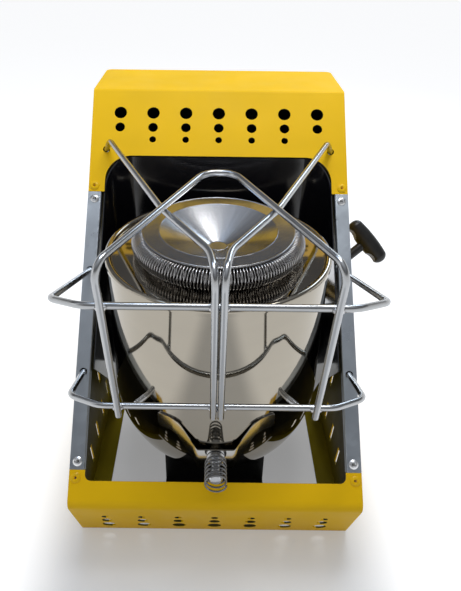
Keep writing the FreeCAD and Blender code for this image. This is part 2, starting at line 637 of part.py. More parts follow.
tube = new_body("burner_tube")
section = sketch_on(tube, "XZ_Plane", "tube_section")
flange_z = FLOOR + SKIN
polygon(section, [(11.0, 19.0), (12.0, 19.0), (12.0, flange_z), (20.0, flange_z), (20.0, flange_z + 1.2),
                  (12.0, flange_z + 1.2), (12.0, 167.5), (11.0, 167.5)])
turned(tube, section, "tube_turned")
tube.Placement = on_burner
holder = round_bar("jet_holder", 7.0, 15.0 - THIN, Placement(BURNER + Vector(0, 0, THIN), Rotation()))
inlet = sketch_on(holder, "XZ_Plane", "holder_inlet", Placement(Vector(0, 0, -5.0), Rotation()))
circle(inlet, 0.0, 9.0 - THIN, 5.0)
cut(holder, inlet, 4.0, "holder_inlet_cut", symmetric=False)
jet = new_body("jet")
section = sketch_on(jet, "XZ_Plane", "jet_section")
polygon(section, [(0.3, 15.0), (3.5, 15.0), (3.5, 19.0), (1.5, 22.0), (0.3, 22.0)])
turned(jet, section, "jet_turned")
jet.Placement = on_burner

# flame spreader: flat rim round a shallow cone, on three posts
spreader = new_body("flame_spreader")
section = sketch_on(spreader, "XZ_Plane", "spreader_section")
UNDER, DEPTH = size("spreader_z"), size("spreader_depth")
rim_out, rim_in = size("spreader_radius"), size("spreader_inner")
polygon(section, [(0.0, UNDER - DEPTH), (6.0, UNDER - DEPTH), (rim_in, UNDER),
                  (term(1, "spreader_radius"), UNDER), (term(1, "spreader_radius"), UNDER + SKIN),
                  (rim_in - 0.15, UNDER + SKIN), (5.85, UNDER - DEPTH + SKIN), (0.0, UNDER - DEPTH + SKIN)])
turned(spreader, section, "spreader_turned")
spreader.Placement = on_burner
for i in range(3):
    x, y = polar(40.0, 90.0 + 120.0 * i)
    place = Placement(BURNER + Vector(x, y, MESH + 3.0), Rotation())
    round_bar("spreader_post_%d" % (i + 1), 1.2, UNDER - MESH - 3.0, place)


def arc_through(start, control, stop):
    """The arc that leaves start toward control and arrives at stop; control is where tangents meet."""
    chord = stop - start
    middle = (start + stop) * 0.5
    rise = control - middle
    if rise.Length < 1e-6:
        return Part.LineSegment(start, stop)
    half_turn = (control - start).getAngle(chord)
    return Part.Arc(start, middle + rise.normalize() * (chord.Length / 2 * math.tan(half_turn / 2)), stop)


def biarc(start, leave, stop, arrive):
    """Two arcs from start to stop with the given directions at both ends."""
    gap, turn = stop - start, leave + arrive
    weight = 2 * (1 - leave.dot(arrive))
    if weight < 1e-9:
        reach = gap.dot(gap) / (4 * gap.dot(arrive))
    else:
        along = gap.dot(turn)
        reach = (math.sqrt(along ** 2 + weight * gap.dot(gap)) - along) / weight
    first, second = start + leave * reach, stop - arrive * reach
    middle = (first + second) * 0.5
    return [arc_through(start, first, middle), arc_through(middle, second, stop)]


def swept(edges, diameter, start, direction):
    """Round wire along a smooth path."""
    path = Part.Wire([e.toShape() for e in edges])
    ring_edge = Part.Wire([Part.Circle(start, direction, diameter / 2).toShape()])
    return path.makePipeShell([ring_edge], True, False)


def curve_points(edges, step):
    points = []
    for e in edges:
        shape = e.toShape()
        points += shape.discretize(max(3, int(shape.Length / step) + 1))[:-1]
    return points


# glow coil: wire wound round a ring, both tails standing on the ring plate
RING_R, CURL = size("coil_radius"), size("coil_minor")
COIL_Z = RING_TOP + 0.4 + CURL + size("coil_wire") / 2
TURNS = int(size("coil_turns"))
SPAN = math.radians(356.0)


def coil_point(turn):
    around, curl = SPAN * turn / TURNS, 2 * math.pi * turn
    radius = RING_R + CURL * math.cos(curl)
    spoke = Vector(math.cos(around), math.sin(around), 0)
    side_step = Vector(-math.sin(around), math.cos(around), 0)
    place = spoke * radius + Vector(0, 0, COIL_Z + CURL * math.sin(curl))
    speed = spoke * (-2 * math.pi * CURL * math.sin(curl)) + Vector(0, 0, 2 * math.pi * CURL * math.cos(curl))
    return place, (speed + side_step * (radius * SPAN / TURNS)).normalize()


UP = Vector(0, 0, 1)
first_place, first_way = coil_point(0.25)
tail = Vector(RING_R + CURL, 0, 0)
edges = [Part.LineSegment(tail + UP * RING_TOP, tail + UP * (COIL_Z - 1.0))]
edges += biarc(tail + UP * (COIL_Z - 1.0), UP, first_place, first_way)
steps = [0.25 + 0.25 * k for k in range(int((TURNS - 0.5) * 4) + 1)]
for a, b in zip(steps, steps[1:]):
    (p, v), (w, x) = coil_point(a), coil_point(b)
    edges += biarc(p, v, w, x)
last_place, last_way = coil_point(steps[-1])
end_angle = SPAN
foot_spot = Vector(math.cos(end_angle), math.sin(end_angle), 0) * (RING_R + CURL)
edges += biarc(last_place, last_way, foot_spot + UP * (COIL_Z - 5.6), UP * -1)
edges.append(Part.LineSegment(foot_spot + UP * (COIL_Z - 5.6), foot_spot + UP * RING_TOP))
coil_edges = edges
new_solid("glow_coil", swept(edges, size("coil_wire"), tail + UP * RING_TOP, UP), on_burner)


def wire_gap(edges, diameter, step, skip):
    """Least clear distance between parts of one wire further apart along it than skip."""
    points = curve_points(edges, step)
    ahead = int(skip / step)
    least = 1e9
    for i in range(len(points)):
        for j in range(i + ahead, min(len(points), i + ahead + int(60 / step))):
            least = min(least, points[i].distanceToPoint(points[j]))
    return least - diameter


print("glow coil least gap to itself %.2f" % wire_gap(coil_edges, size("coil_wire"), 0.8, 8.0))

# guard of bent wire
WIRE = size("wire")


def bent_path(points, radii):
    """Straight runs joined by arcs of the given radii at the inner points."""
    edges, start = [], points[0]
    for before, corner, after, radius in zip(points, points[1:], points[2:], radii):
        back, ahead = (before - corner).normalize(), (after - corner).normalize()
        reach = radius / math.tan(back.getAngle(ahead) / 2)
        a, b = corner + back * reach, corner + ahead * reach
        edges.append(Part.LineSegment(start, a))
        edges.append(arc_through(a, corner, b))
        start = b
    edges.append(Part.LineSegment(start, points[-1]))
    return edges


def bent_wire(name, points, radii, diameter):
    edges = bent_path(points, radii)
    return new_solid(name, swept(edges, diameter, points[0], points[1] - points[0]))


LOW_BAR, HIGH_BAR = Vector(0, -10.6, 132.8), Vector(0, -21.6, 212.0)
FENCE_LEAN = (HIGH_BAR.y - LOW_BAR.y) / (HIGH_BAR.z - LOW_BAR.z)


def fence_y(z):
    return LOW_BAR.y - (WIRE + 0.02) + FENCE_LEAN * (z - LOW_BAR.z)


def mirrored(points):
    return [Vector(-p.x, p.y, p.z) for p in reversed(points)]


def crossbar(name, hole_distance, corner, bar):
    """Bar across the front whose legs run back through the rail holes."""
    hole = FRONT + rail_dir * hole_distance + AXIS_X * RAIL_HOLE_X - rail_out * (SHEET / 2)
    inside = hole + (hole - corner).normalize() * 7.0
    half = [Vector(70.0, bar.y, bar.z), corner, inside]
    bent_wire(name, mirrored(half) + half, [11.0, 16.0, 16.0, 11.0], WIRE)


crossbar("guard_upper_bar", 161.4, Vector(90.6, -5.0, 205.0), HIGH_BAR)
crossbar("guard_lower_bar", 88.3, Vector(90.6, 2.0, 129.0), LOW_BAR)
FENCE_TOP = size("fence_top")
foot = Vector(58.3, fence_y(128.0), 128.0)
shoulder = Vector(60.0, fence_y(FENCE_TOP), FENCE_TOP)
bent_wire("guard_house_wire", [Vector(-foot.x, foot.y, foot.z), Vector(-shoulder.x, shoulder.y, shoulder.z),
                               Vector(0, 110.0, FENCE_TOP), shoulder, foot], [9.0, 14.0, 9.0], WIRE)
UNDER_FENCE = FENCE_TOP - WIRE - 0.02
panel_hole = TOP - panel_dir * 49.5 - panel_out * (SHEET / 2)
for tag, side in (("left", -1), ("right", 1)):
    run = [Vector(2.3, fence_y(127.0), 127.0), Vector(2.3, fence_y(UNDER_FENCE), UNDER_FENCE),
           Vector(5.5, -6.0, UNDER_FENCE), Vector(33.5, 43.0, UNDER_FENCE), Vector(80.5, 159.5, UNDER_FENCE)]
    hole = Vector(84.5, panel_hole.y, panel_hole.z)
    run += [hole + (hole - run[-1]).normalize() * 5.0]
    bent_wire("guard_centre_wire_" + tag, [Vector(side * p.x, p.y, p.z) for p in run],
              [9.0, 30.0, 60.0, 9.0], WIRE)

# handle: bracket welded to the front of the bowl, coil grip on a screw
PLATE, BACK, STRIP = size("plate_half"), 0.75, 1.0
LOW_Z, HIGH_Z = size("plate_low"), size("plate_high")
TOUCH_X = 33.5
touch_y = BURNER.y - math.sqrt(RADIUS ** 2 - TOUCH_X ** 2)
bowl_slope = TOUCH_X / (BURNER.y - touch_y)
arm_turn = Vector(28.0, touch_y - bowl_slope * (TOUCH_X - 28.0), 0)
arm_end = Vector(40.0, touch_y + bowl_slope * (40.0 - TOUCH_X), 0)
half_strip = [Vector(PLATE, BACK, 0), arm_turn, arm_end]
strip_edges = [edge.toShape() for edge in bent_path(mirrored(half_strip) + half_strip, [2.5, 9.0, 9.0, 2.5])]
band = Part.Wire(strip_edges).makeOffset2D(-STRIP, 0, True, True)
if band.BoundBox.YMin > BACK - 0.5 * STRIP:
    band = Part.Wire(strip_edges).makeOffset2D(STRIP, 0, True, True)
band.translate(UP * 60.0)
bent_strip = band.extrude(UP * 50.0)
ARM_LOW, ARM_HIGH, ARM_END = 94.0, 105.0, 38.6
right_side = [(PLATE + 0.3, LOW_Z), (PLATE + 0.3, LOW_Z + 4.0), (27.0, ARM_LOW), (ARM_END, ARM_LOW),
              (ARM_END, ARM_HIGH), (26.0, ARM_HIGH), (PLATE - 0.5, HIGH_Z)]
loop = [Vector(x, -20, z) for x, z in right_side] + [Vector(-x, -20, z) for x, z in reversed(right_side)]
front_view = Part.Face(Part.makePolygon(loop + loop[:1])).extrude(Vector(0, 80, 0))
for x, z, radius in ((PLATE + 0.3, LOW_Z, 3.6), (27.0, ARM_LOW, 9.0), (26.0, ARM_HIGH, 12.0),
                     (ARM_END, ARM_LOW, 2.0), (ARM_END, ARM_HIGH, 2.0)):
    picked = [e for e in front_view.Edges if abs(abs(e.CenterOfMass.x) - x) < 0.01
              and abs(e.CenterOfMass.z - z) < 0.01 and e.Length > 79]
    front_view = front_view.makeFillet(radius, picked)
HANDLE = Vector(0, 0, size("handle_z"))
bracket = bent_strip.common(front_view)
bracket = bracket.cut(Part.makeCylinder(2.6, 10, HANDLE + Vector(0, 5, 0), Vector(0, -1, 0)))
new_solid("handle_bracket", bracket)

screw = new_body("handle_screw")
section = sketch_on(screw, "XZ_Plane", "handle_screw_section")
SPRING_END = size("spring_length") + BACK + 3.0
GRIP_R = (size("spring_diameter") - size("spring_wire")) / 2
collar = GRIP_R - size("spring_wire") / 2 - 0.1
head_z = SPRING_END - 7.6
polygon(section, [(0.0, -2.6), (2.5, -2.6), (2.5, BACK), (collar, BACK), (collar, BACK + 2.2),
                  (2.5, BACK + 2.2), (2.5, head_z), (4.4, head_z), (4.4, head_z + 2.0),
                  (3.4, head_z + 3.0), (0.0, head_z + 3.2)])
turned(screw, section, "handle_screw_turned")
to_front = Placement(HANDLE, Rotation(AXIS_X, 90))
screw.Placement = to_front


def hexagon(sketch, across, bore):
    """Hexagon of the given width across flats with a round hole."""
    corner = across / math.sqrt(3)
    polygon(sketch, [polar(corner, 60.0 * i + 30.0) for i in range(6)])
    circle(sketch, 0.0, 0.0, bore)


nut = new_body("handle_nut")
shape = sketch_on(nut, "XY_Plane", "handle_nut_outline", Placement(Vector(0, 0, -BACK - 1.8), Rotation()))
hexagon(shape, 8.0, 5.0)
pad(nut, shape, 1.8, "handle_nut_pad")
nut.Placement = to_front

# grip spring: pushed over the collar of the screw, its back end running straight into the plate,
# its front end open
GRIP_TURNS = size("spring_turns")
run_in = 3.2
back_z, front_z = BACK, SPRING_END
coil_start, coil_stop = back_z + run_in, front_z - 0.8


def grip_point(turn):
    angle = 2 * math.pi * turn
    z = coil_start + (coil_stop - coil_start) * turn / GRIP_TURNS
    speed = Vector(-math.sin(angle) * GRIP_R * 2 * math.pi, math.cos(angle) * GRIP_R * 2 * math.pi,
                   (coil_stop - coil_start) / GRIP_TURNS)
    return Vector(GRIP_R * math.cos(angle), GRIP_R * math.sin(angle), z), speed.normalize()


def grip_end(turn, z):
    angle = 2 * math.pi * turn
    return Vector(GRIP_R * math.cos(angle), GRIP_R * math.sin(angle), z)


LEAD = 0.12
wire_d = size("spring_wire")
edges = [Part.LineSegment(grip_end(-LEAD, back_z), grip_end(-LEAD, back_z + wire_d))]
edges += biarc(grip_end(-LEAD, back_z + wire_d), UP, *grip_point(0))
steps = [0.25 * k for k in range(int(GRIP_TURNS * 4) + 1)]
for a, b in zip(steps, steps[1:]):
    (p, v), (w, x) = grip_point(a), grip_point(b)
    edges += biarc(p, v, w, x)
print("grip spring least gap to itself %.2f" % wire_gap(edges, wire_d, 0.5, 8.0))
new_solid("handle_spring", swept(edges, wire_d, grip_end(-LEAD, back_z), UP), to_front)

# threaded studs standing out of the bowl beside the handle
for tag, side in (("left", -1), ("right", 1)):
    face_y = BURNER.y - math.sqrt((RADIUS - 0.5) ** 2 - 46.0 ** 2)
    spot = Vector(side * 46.0, face_y, 113.0)
    outward = Vector(spot.x, spot.y - BURNER.y, 0).normalize()
    place = Placement(spot - outward * 1.2, Rotation(UP, outward))
    stud = new_body("bowl_screw_" + tag)
    section = sketch_on(stud, "XZ_Plane", "bowl_screw_section_" + tag)
    polygon(section, [(0.0, 0.0), (1.9, 0.0), (1.9, 10.8), (1.5, 11.2), (0.0, 11.2)])
    turned(stud, section, "bowl_screw_turned_" + tag)
    stud.Placement = place

# valve behind the right wall: bracket, body, gland nut, spindle, needle and handle
flange_run = 15.0
wall_u, wall_s = valve_s.x, -valve_u.x
SEAT_S = -13.0
plate_s = SEAT_S + 1.6
meet_u = -plate_s * valve_s.x / valve_u.x
end_u, end_s = meet_u + flange_run * wall_u, plate_s + flange_run * wall_s
inner_u = -(1.6 + SEAT_S * valve_s.x) / valve_u.x
valve_bracket = new_body("valve_bracket")
shape = sketch_on(valve_bracket, "XZ_Plane", "valve_bracket_outline")
polygon(shape, [(-9.0, plate_s), (meet_u, plate_s), (end_u, end_s),
                (end_u - 1.6 * valve_u.x, end_s - 1.6 * valve_s.x), (inner_u, SEAT_S), (-9.0, SEAT_S)])
pad(valve_bracket, shape, 16.0, "valve_bracket_pad", symmetric=True)
neck_hole = sketch_on(valve_bracket, "XY_Plane", "valve_neck_hole", Placement(Vector(0, 0, SEAT_S), Rotation()))
circle(neck_hole, 0.0, 0.0, 8.0)
cut(valve_bracket, neck_hole, 6.0, "valve_neck_cut")
valve_bracket.Placement = on_valve

BODY_R = size("valve_body") / 2
STEM_R = size("stem") / 2
valve_body = new_body("valve_body")
section = sketch_on(valve_body, "XZ_Plane", "valve_body_section")
polygon(section, [(1.0, -38.0), (term(0.5, "valve_body"), -38.0), (term(0.5, "valve_body"), SEAT_S),
                  (4.0, SEAT_S), (4.0, -6.2), (term(0.5, "stem", plus=0.05), -6.2),
                  (term(0.5, "stem", plus=0.05), -33.0), (1.0, -33.8)])
turned(valve_body, section, "valve_body_turned")
side_port = sketch_on(valve_body, "XZ_Plane", "valve_side_port", Placement(Vector(0, 0, -4.5), Rotation()))
circle(side_port, 0.0, -24.0, 5.0)
cut(valve_body, side_port, 6.0, "valve_side_cut", symmetric=False, reverse=False)
pipe_port = sketch_on(valve_body, "XY_Plane", "valve_pipe_port", Placement(Vector(0, 0, -38.0), Rotation()))
circle(pipe_port, 0.0, 0.0, 5.0)
cut(valve_body, pipe_port, 2.0, "valve_pipe_cut", symmetric=False, reverse=True)
valve_body.Placement = on_valve

gland = new_body("gland_nut")
shape = sketch_on(gland, "XY_Plane", "gland_outline", Placement(Vector(0, 0, plate_s), Rotation()))
hexagon(shape, 11.0, 8.0)
pad(gland, shape, 3.6, "gland_pad")
gland.Placement = on_valve
spindle = new_body("valve_spindle")
section = sketch_on(spindle, "XZ_Plane", "spindle_section")
polygon(section, [(0.0, -20.0), (term(0.5, "stem"), -20.0), (term(0.5, "stem"), 27.0), (0.0, 27.0)])
turned(spindle, section, "spindle_turned")
spindle.Placement = on_valve
needle = new_body("valve_needle")
section = sketch_on(needle, "XZ_Plane", "needle_section")
polygon(section, [(0.0, -34.4), (0.7, -33.4), (2.2, -31.5), (2.95, -30.8), (2.95, -21.6), (0.0, -21.6)])
turned(needle, section, "needle_turned")
needle.Placement = on_valve

KNOB_S = 38.1
knob = new_body("valve_handle")
hub = sketch_on(knob, "XZ_Plane", "hub_section")
polygon(hub, [(0.0, 27.0), (term(0.5, "stem"), 27.0), (term(0.5, "stem"), 7.5), (3.8, 7.5), (3.9, KNOB_S),
              (0.0, KNOB_S)])
turned(knob, hub, "hub_turned")
bar = sketch_on(knob, "XZ_Plane", "bar_section", Placement(Vector(0, KNOB_S, 0), Rotation()))
half_bar, end_r = size("knob_length") / 2, size("knob_end") / 2
outline(bar, [(-half_bar, 0.0), (-half_bar + 4.2, end_r), (half_bar - 4.2, end_r), (half_bar, 0.0)],
        {0: (-half_bar + 1.1, end_r - 2.3), 1: (0.0, end_r + 1.1), 2: (half_bar - 1.1, end_r - 2.3)})
feature = knob.newObject("PartDesign::Revolution", "bar_turned")
feature.Profile = bar
feature.ReferenceAxis = (bar, ["H_Axis"])
feature.Angle = 360.0
doc.recompute()
grips = sketch_on(knob, "XZ_Plane", "finger_grips", Placement(Vector(0, KNOB_S, 0), Rotation()))
for side in (-1, 1):
    circle(grips, side * 13.0, -(end_r + 8.4 - 1.6), 16.8)
cut(knob, grips, 40.0, "finger_grip_cut")
knob.Placement = on_valve

# gas connection facing the back, and the pipe down to the jet
INLET = at_valve(0, 0, -24.0)
on_inlet = Placement(INLET, Rotation(valve_u, valve_s * -1, valve_v, "ZXY"))
connector = new_body("inlet_connector")
section = sketch_on(connector, "XZ_Plane", "connector_section")
polygon(section, [(1.2, 5.0), (2.5, 5.0), (2.5, 7.4), (5.0, 7.4), (5.0, 12.0), (4.0, 12.0), (4.0, 22.4), (5.4, 22.4),
                  (5.4, 24.4), (3.4, 24.4), (4.2, 26.0), (3.4, 30.0), (4.2, 31.6), (3.4, 36.0), (1.2, 36.0)])
turned(connector, section, "connector_turned")
connector.Placement = on_inlet
union = new_body("inlet_nut")
shape = sketch_on(union, "XY_Plane", "union_outline", Placement(Vector(0, 0, 12.3), Rotation()))
hexagon(shape, 14.0, 8.1)
pad(union, shape, 9.8, "union_pad")
union.Placement = on_inlet
pipe_corner = at_valve(0, 0, -50.0)
DROP = 9.0
pipe_points = [at_valve(0, 0, -36.0), pipe_corner, Vector(pipe_corner.x, pipe_corner.y, DROP),
               Vector(0, pipe_corner.y, DROP), Vector(0, BURNER.y + 5.2, DROP)]
bent_wire("gas_pipe", pipe_points, [8.0, 10.0, 10.0], 5.0)
for i, spot in enumerate(bracket_rivets):
    rivet("valve_rivet_%d" % (i + 1), Placement(Vector(HALF, spot.y, spot.z), facing_x), 6.4, SHEET + 1.6)

# the origin moves from the front foot to the floor right under the burner
for node in nodes:
    node.Placement = Placement(-BURNER, Rotation()) * node.Placement
doc.recompute()
faults = [o.Label for o in doc.Objects if "Invalid" in o.State or "Error" in o.State]
if faults:
    raise RuntimeError("faulty features: " + ", ".join(faults))
os.makedirs("parts", exist_ok=True)
for node in nodes:
    shape = node.Shape
    if shape.isNull() or not shape.isValid() or len(shape.Solids) != 1:
        raise RuntimeError("%s is not one valid solid: %d" % (node.Label, len(shape.Solids)))
    shape.exportStep("parts/%s.step" % node.Label)
print("%d nodes written" % len(nodes))
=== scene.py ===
# Tabletop propane heater seen from above its wire guard, on a pale floor in soft studio light.
import bpy
import bmesh
import json
import math
from mathutils import Matrix, Vector, noise


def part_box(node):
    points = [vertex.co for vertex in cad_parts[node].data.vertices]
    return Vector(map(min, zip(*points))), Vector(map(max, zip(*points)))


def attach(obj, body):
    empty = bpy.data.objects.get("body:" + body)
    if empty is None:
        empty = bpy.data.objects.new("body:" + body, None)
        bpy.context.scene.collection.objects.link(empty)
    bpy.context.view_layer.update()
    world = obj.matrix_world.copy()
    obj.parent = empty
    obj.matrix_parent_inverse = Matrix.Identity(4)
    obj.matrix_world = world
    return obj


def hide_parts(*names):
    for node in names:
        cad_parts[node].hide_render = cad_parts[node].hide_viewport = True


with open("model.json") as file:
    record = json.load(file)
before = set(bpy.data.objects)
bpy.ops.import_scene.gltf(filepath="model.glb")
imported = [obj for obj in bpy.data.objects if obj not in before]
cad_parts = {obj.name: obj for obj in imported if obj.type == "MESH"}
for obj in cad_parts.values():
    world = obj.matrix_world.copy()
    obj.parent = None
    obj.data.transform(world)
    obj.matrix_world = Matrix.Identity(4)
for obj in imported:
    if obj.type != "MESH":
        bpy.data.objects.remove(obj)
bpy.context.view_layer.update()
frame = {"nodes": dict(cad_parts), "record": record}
MM = 0.001

# camera where the photograph was taken from
CAMERA_AT = Vector((-4.5, -343.5, 379.2)) * MM
LOOK_DOWN = math.radians(33.3)
ROLL = math.radians(0.7)
FOCAL_PIXELS, LONG_SIDE = 586.8, 591.0
PICTURE_MIDDLE, LENS_MIDDLE = 230.5, 210.8
forward = Vector((0, math.cos(LOOK_DOWN), -math.sin(LOOK_DOWN)))
camera_data = bpy.data.cameras.new("camera")
camera = bpy.data.objects.new("camera", camera_data)
bpy.context.collection.objects.link(camera)
camera.location = CAMERA_AT
camera.rotation_mode = "QUATERNION"
level = forward.to_track_quat("-Z", "Y")
camera.rotation_quaternion = (level.to_matrix() @ Matrix.Rotation(ROLL, 3, "Z")).to_quaternion()
camera_data.sensor_width = 36.0
camera_data.lens = 36.0 * FOCAL_PIXELS / LONG_SIDE
camera_data.shift_x = (PICTURE_MIDDLE - LENS_MIDDLE) / LONG_SIDE
camera_data.clip_start, camera_data.clip_end = 0.01, 20.0
bpy.context.scene.camera = camera
bpy.context.scene.view_settings.view_transform = "Standard"


def add_node(tree, kind, inputs=(), **settings):
    """New node with its settings, and each input either linked or set to a value."""
    node = tree.nodes.new(kind)
    for key, value in settings.items():
        setattr(node, key, value)
    for key, value in dict(inputs).items():
        if isinstance(value, bpy.types.NodeSocket):
            tree.links.new(value, node.inputs[key])
        else:
            node.inputs[key].default_value = value
    return node


class Shader:
    """A material's node tree with short calls for the nodes used here."""

    def __init__(self, name, color, metallic=0.0, rough=0.5, coat=0.0, coat_rough=0.1, specular=0.5):
        self.material = bpy.data.materials.new(name)
        self.material.use_nodes = True
        self.tree = self.material.node_tree
        self.surface = self.tree.nodes["Principled BSDF"]
        self.set("Base Color", (*color, 1.0))
        self.set("Metallic", metallic)
        self.set("Roughness", rough)
        self.set("Coat Weight", coat)
        self.set("Coat Roughness", coat_rough)
        self.set("Specular IOR Level", specular)
        self.where = self.add("ShaderNodeTexCoord").outputs["Object"]

    def set(self, socket, value):
        self.surface.inputs[socket].default_value = value

    def join(self, output, socket):
        self.tree.links.new(output, self.surface.inputs[socket])

    def add(self, kind, inputs=(), **settings):
        return add_node(self.tree, kind, inputs, **settings)

    def stretched(self, scale):
        node = self.add("ShaderNodeMapping", {"Vector": self.where, "Scale": scale})
        return node.outputs["Vector"]

    def noise(self, scale, detail=3.0, place=None, rough=0.5):
        node = self.add("ShaderNodeTexNoise", {"Vector": place or self.where, "Scale": scale,
                                               "Detail": detail, "Roughness": rough})
        return node.outputs["Fac"]

    def spread(self, fac, low, high, from_low=0.3, from_high=0.7):
        node = self.add("ShaderNodeMapRange", {"Value": fac, "From Min": from_low, "From Max": from_high,
                                               "To Min": low, "To Max": high})
        return node.outputs["Result"]

    def tint(self, fac, first, second):
        """Between two fixed colours."""
        ends = {"Factor": fac, 6: (*first, 1.0), 7: (*second, 1.0)}
        return self.add("ShaderNodeMix", ends, data_type="RGBA").outputs[2]

    def blend(self, fac, first, second):
        """Between two colours that come from other nodes."""
        return self.add("ShaderNodeMix", {"Factor": fac, 6: first, 7: second}, data_type="RGBA").outputs[2]

    def bump(self, height, strength, distance, soft_edge=0.0):
        inputs = {"Height": height, "Strength": strength, "Distance": distance}
        if soft_edge:
            inputs["Normal"] = self.add("ShaderNodeBevel", {"Radius": soft_edge}).outputs["Normal"]
        self.join(self.add("ShaderNodeBump", inputs).outputs["Normal"], "Normal")


def shade(color, amount):
    return tuple(min(1.0, c * amount) for c in color)


def painted(name, color, rough, coat, edge=0.0004, inside=None):
    """Powder coat: even colour, slight orange peel; the inner faces can carry painted shade."""
    s = Shader(name, color, rough=rough, coat=coat, coat_rough=0.12, specular=0.18)
    tone = s.tint(s.spread(s.noise(18.0), 0.0, 1.0), shade(color, 0.95), shade(color, 1.04))
    # painted shade: faces towards the middle of the stand turn dark olive to near black up the walls
    if inside:
        tone = s.blend(inward_mask(s), tone, painted_inner_shade(s, *inside))
    s.join(tone, "Base Color")
    s.join(s.spread(s.noise(60.0), rough - 0.04, rough + 0.06), "Roughness")
    s.bump(s.noise(900.0, 2.0), 0.12, 0.00015, edge)
    return s.material


# where the inner faces turn from yellow to painted shade, in metres
STAND_MIDDLE = (0.0, 0.03, 0.085)
INNER_SHADE_LEVELS = (0.02, 0.11)
INNER_SHADE_SLOPE, INNER_SHADE_UNEVEN = -0.9, 0.012


def inward_mask(s):
    """1 on faces that look towards the middle of the stand, 0 on the outside."""
    middle = s.add("ShaderNodeVectorMath", {0: s.where, 1: STAND_MIDDLE}, operation="SUBTRACT")
    facing = s.add("ShaderNodeNewGeometry").outputs["True Normal"]
    toward = s.add("ShaderNodeVectorMath", {0: middle.outputs[0], 1: facing}, operation="DOT_PRODUCT")
    return s.spread(toward.outputs["Value"], 1.0, 0.0, -0.004, 0.0)


def painted_inner_shade(s, low, high):
    """Painted shade on the inner faces: brighter along the floor, nearly black beside the burner."""
    parts = s.add("ShaderNodeSeparateXYZ", {"Vector": s.where}).outputs
    rise = s.add("ShaderNodeMath", {0: parts["Y"], 1: INNER_SHADE_SLOPE}, operation="MULTIPLY").outputs[0]
    level = s.add("ShaderNodeMath", {0: parts["Z"], 1: rise}, operation="ADD").outputs[0]
    patchy = s.spread(s.noise(14.0), -INNER_SHADE_UNEVEN, INNER_SHADE_UNEVEN)
    uneven = s.add("ShaderNodeMath", {0: patchy, 1: level}, operation="ADD")
    return s.tint(s.spread(uneven.outputs[0], 0.0, 1.0, *INNER_SHADE_LEVELS), low, high)


def sheet_metal(name, color, rough, spangle=0.0):
    """Plated or galvanised sheet: cloudy patches and a fine grain."""
    s = Shader(name, color, metallic=1.0, rough=rough)
    cells = s.add("ShaderNodeTexVoronoi", {"Vector": s.where, "Scale": 220.0}).outputs["Color"]
    grey = s.add("ShaderNodeRGBToBW", {"Color": cells}).outputs["Val"]
    clouds = s.noise(35.0, 4.0)
    mixed = s.add("ShaderNodeMix", {"Factor": spangle, 2: clouds, 3: grey}, data_type="FLOAT")
    s.join(s.tint(mixed.outputs[0], shade(color, 0.86), shade(color, 1.1)), "Base Color")
    s.join(s.spread(mixed.outputs[0], rough - 0.06, rough + 0.1), "Roughness")
    s.bump(s.noise(700.0, 2.0), 0.08, 0.0001, 0.0004)
    return s.material


def wire_metal(name, color, rough, edge=0.0):
    """Drawn wire: fine scratches, duller patches where the plating is thin."""
    s = Shader(name, color, metallic=1.0, rough=rough)
    patches = s.noise(60.0, 4.0)
    s.join(s.tint(s.spread(patches, 0.0, 1.0), shade(color, 0.95), shade(color, 1.03)), "Base Color")
    s.join(s.spread(s.noise(120.0, 3.0), rough - 0.02, rough + 0.04), "Roughness")
    s.bump(s.noise(1200.0, 2.0), 0.02, 0.00008, edge)
    return s.material


def polished(name, color, rough):
    """Mirror steel with a barely wavy surface and faint wiping marks."""
    s = Shader(name, color, metallic=1.0, rough=rough)
    wiping = s.noise(14.0, 5.0, s.stretched((1.0, 1.0, 4.0)))
    s.join(s.spread(wiping, rough, rough + 0.05), "Roughness")
    s.join(s.tint(s.spread(wiping, 0.0, 1.0), shade(color, 0.97), shade(color, 1.02)), "Base Color")
    s.bump(s.noise(22.0, 1.0), 0.05, 0.0004)
    return s.material


def brushed_round(name, color, rough):
    """Steel brushed in rays from the burner axis."""
    s = Shader(name, color, metallic=1.0, rough=rough)
    parts = s.add("ShaderNodeSeparateXYZ", {"Vector": s.where}).outputs
    angle = s.add("ShaderNodeMath", {0: parts["Y"], 1: parts["X"]}, operation="ARCTAN2")
    rays = s.add("ShaderNodeCombineXYZ", {"X": angle.outputs[0]}).outputs["Vector"]
    fine = s.noise(90.0, 4.0, rays, 0.7)
    broad = s.noise(9.0, 2.0, rays)
    s.join(s.tint(s.spread(broad, 0.0, 1.0), shade(color, 0.92), shade(color, 1.06)), "Base Color")
    s.join(s.spread(fine, rough - 0.05, rough + 0.07), "Roughness")
    s.bump(fine, 0.10, 0.00008)
    return s.material


def moulded(name, color, rough):
    """Moulded plastic with a fine grain."""
    s = Shader(name, color, rough=rough, specular=0.4)
    s.join(s.tint(s.spread(s.noise(70.0), 0.0, 1.0), shade(color, 0.8), shade(color, 1.25)), "Base Color")
    s.join(s.spread(s.noise(160.0), rough - 0.05, rough + 0.08), "Roughness")
    s.bump(s.noise(1400.0, 2.0), 0.2, 0.00015, 0.0006)
    return s.material


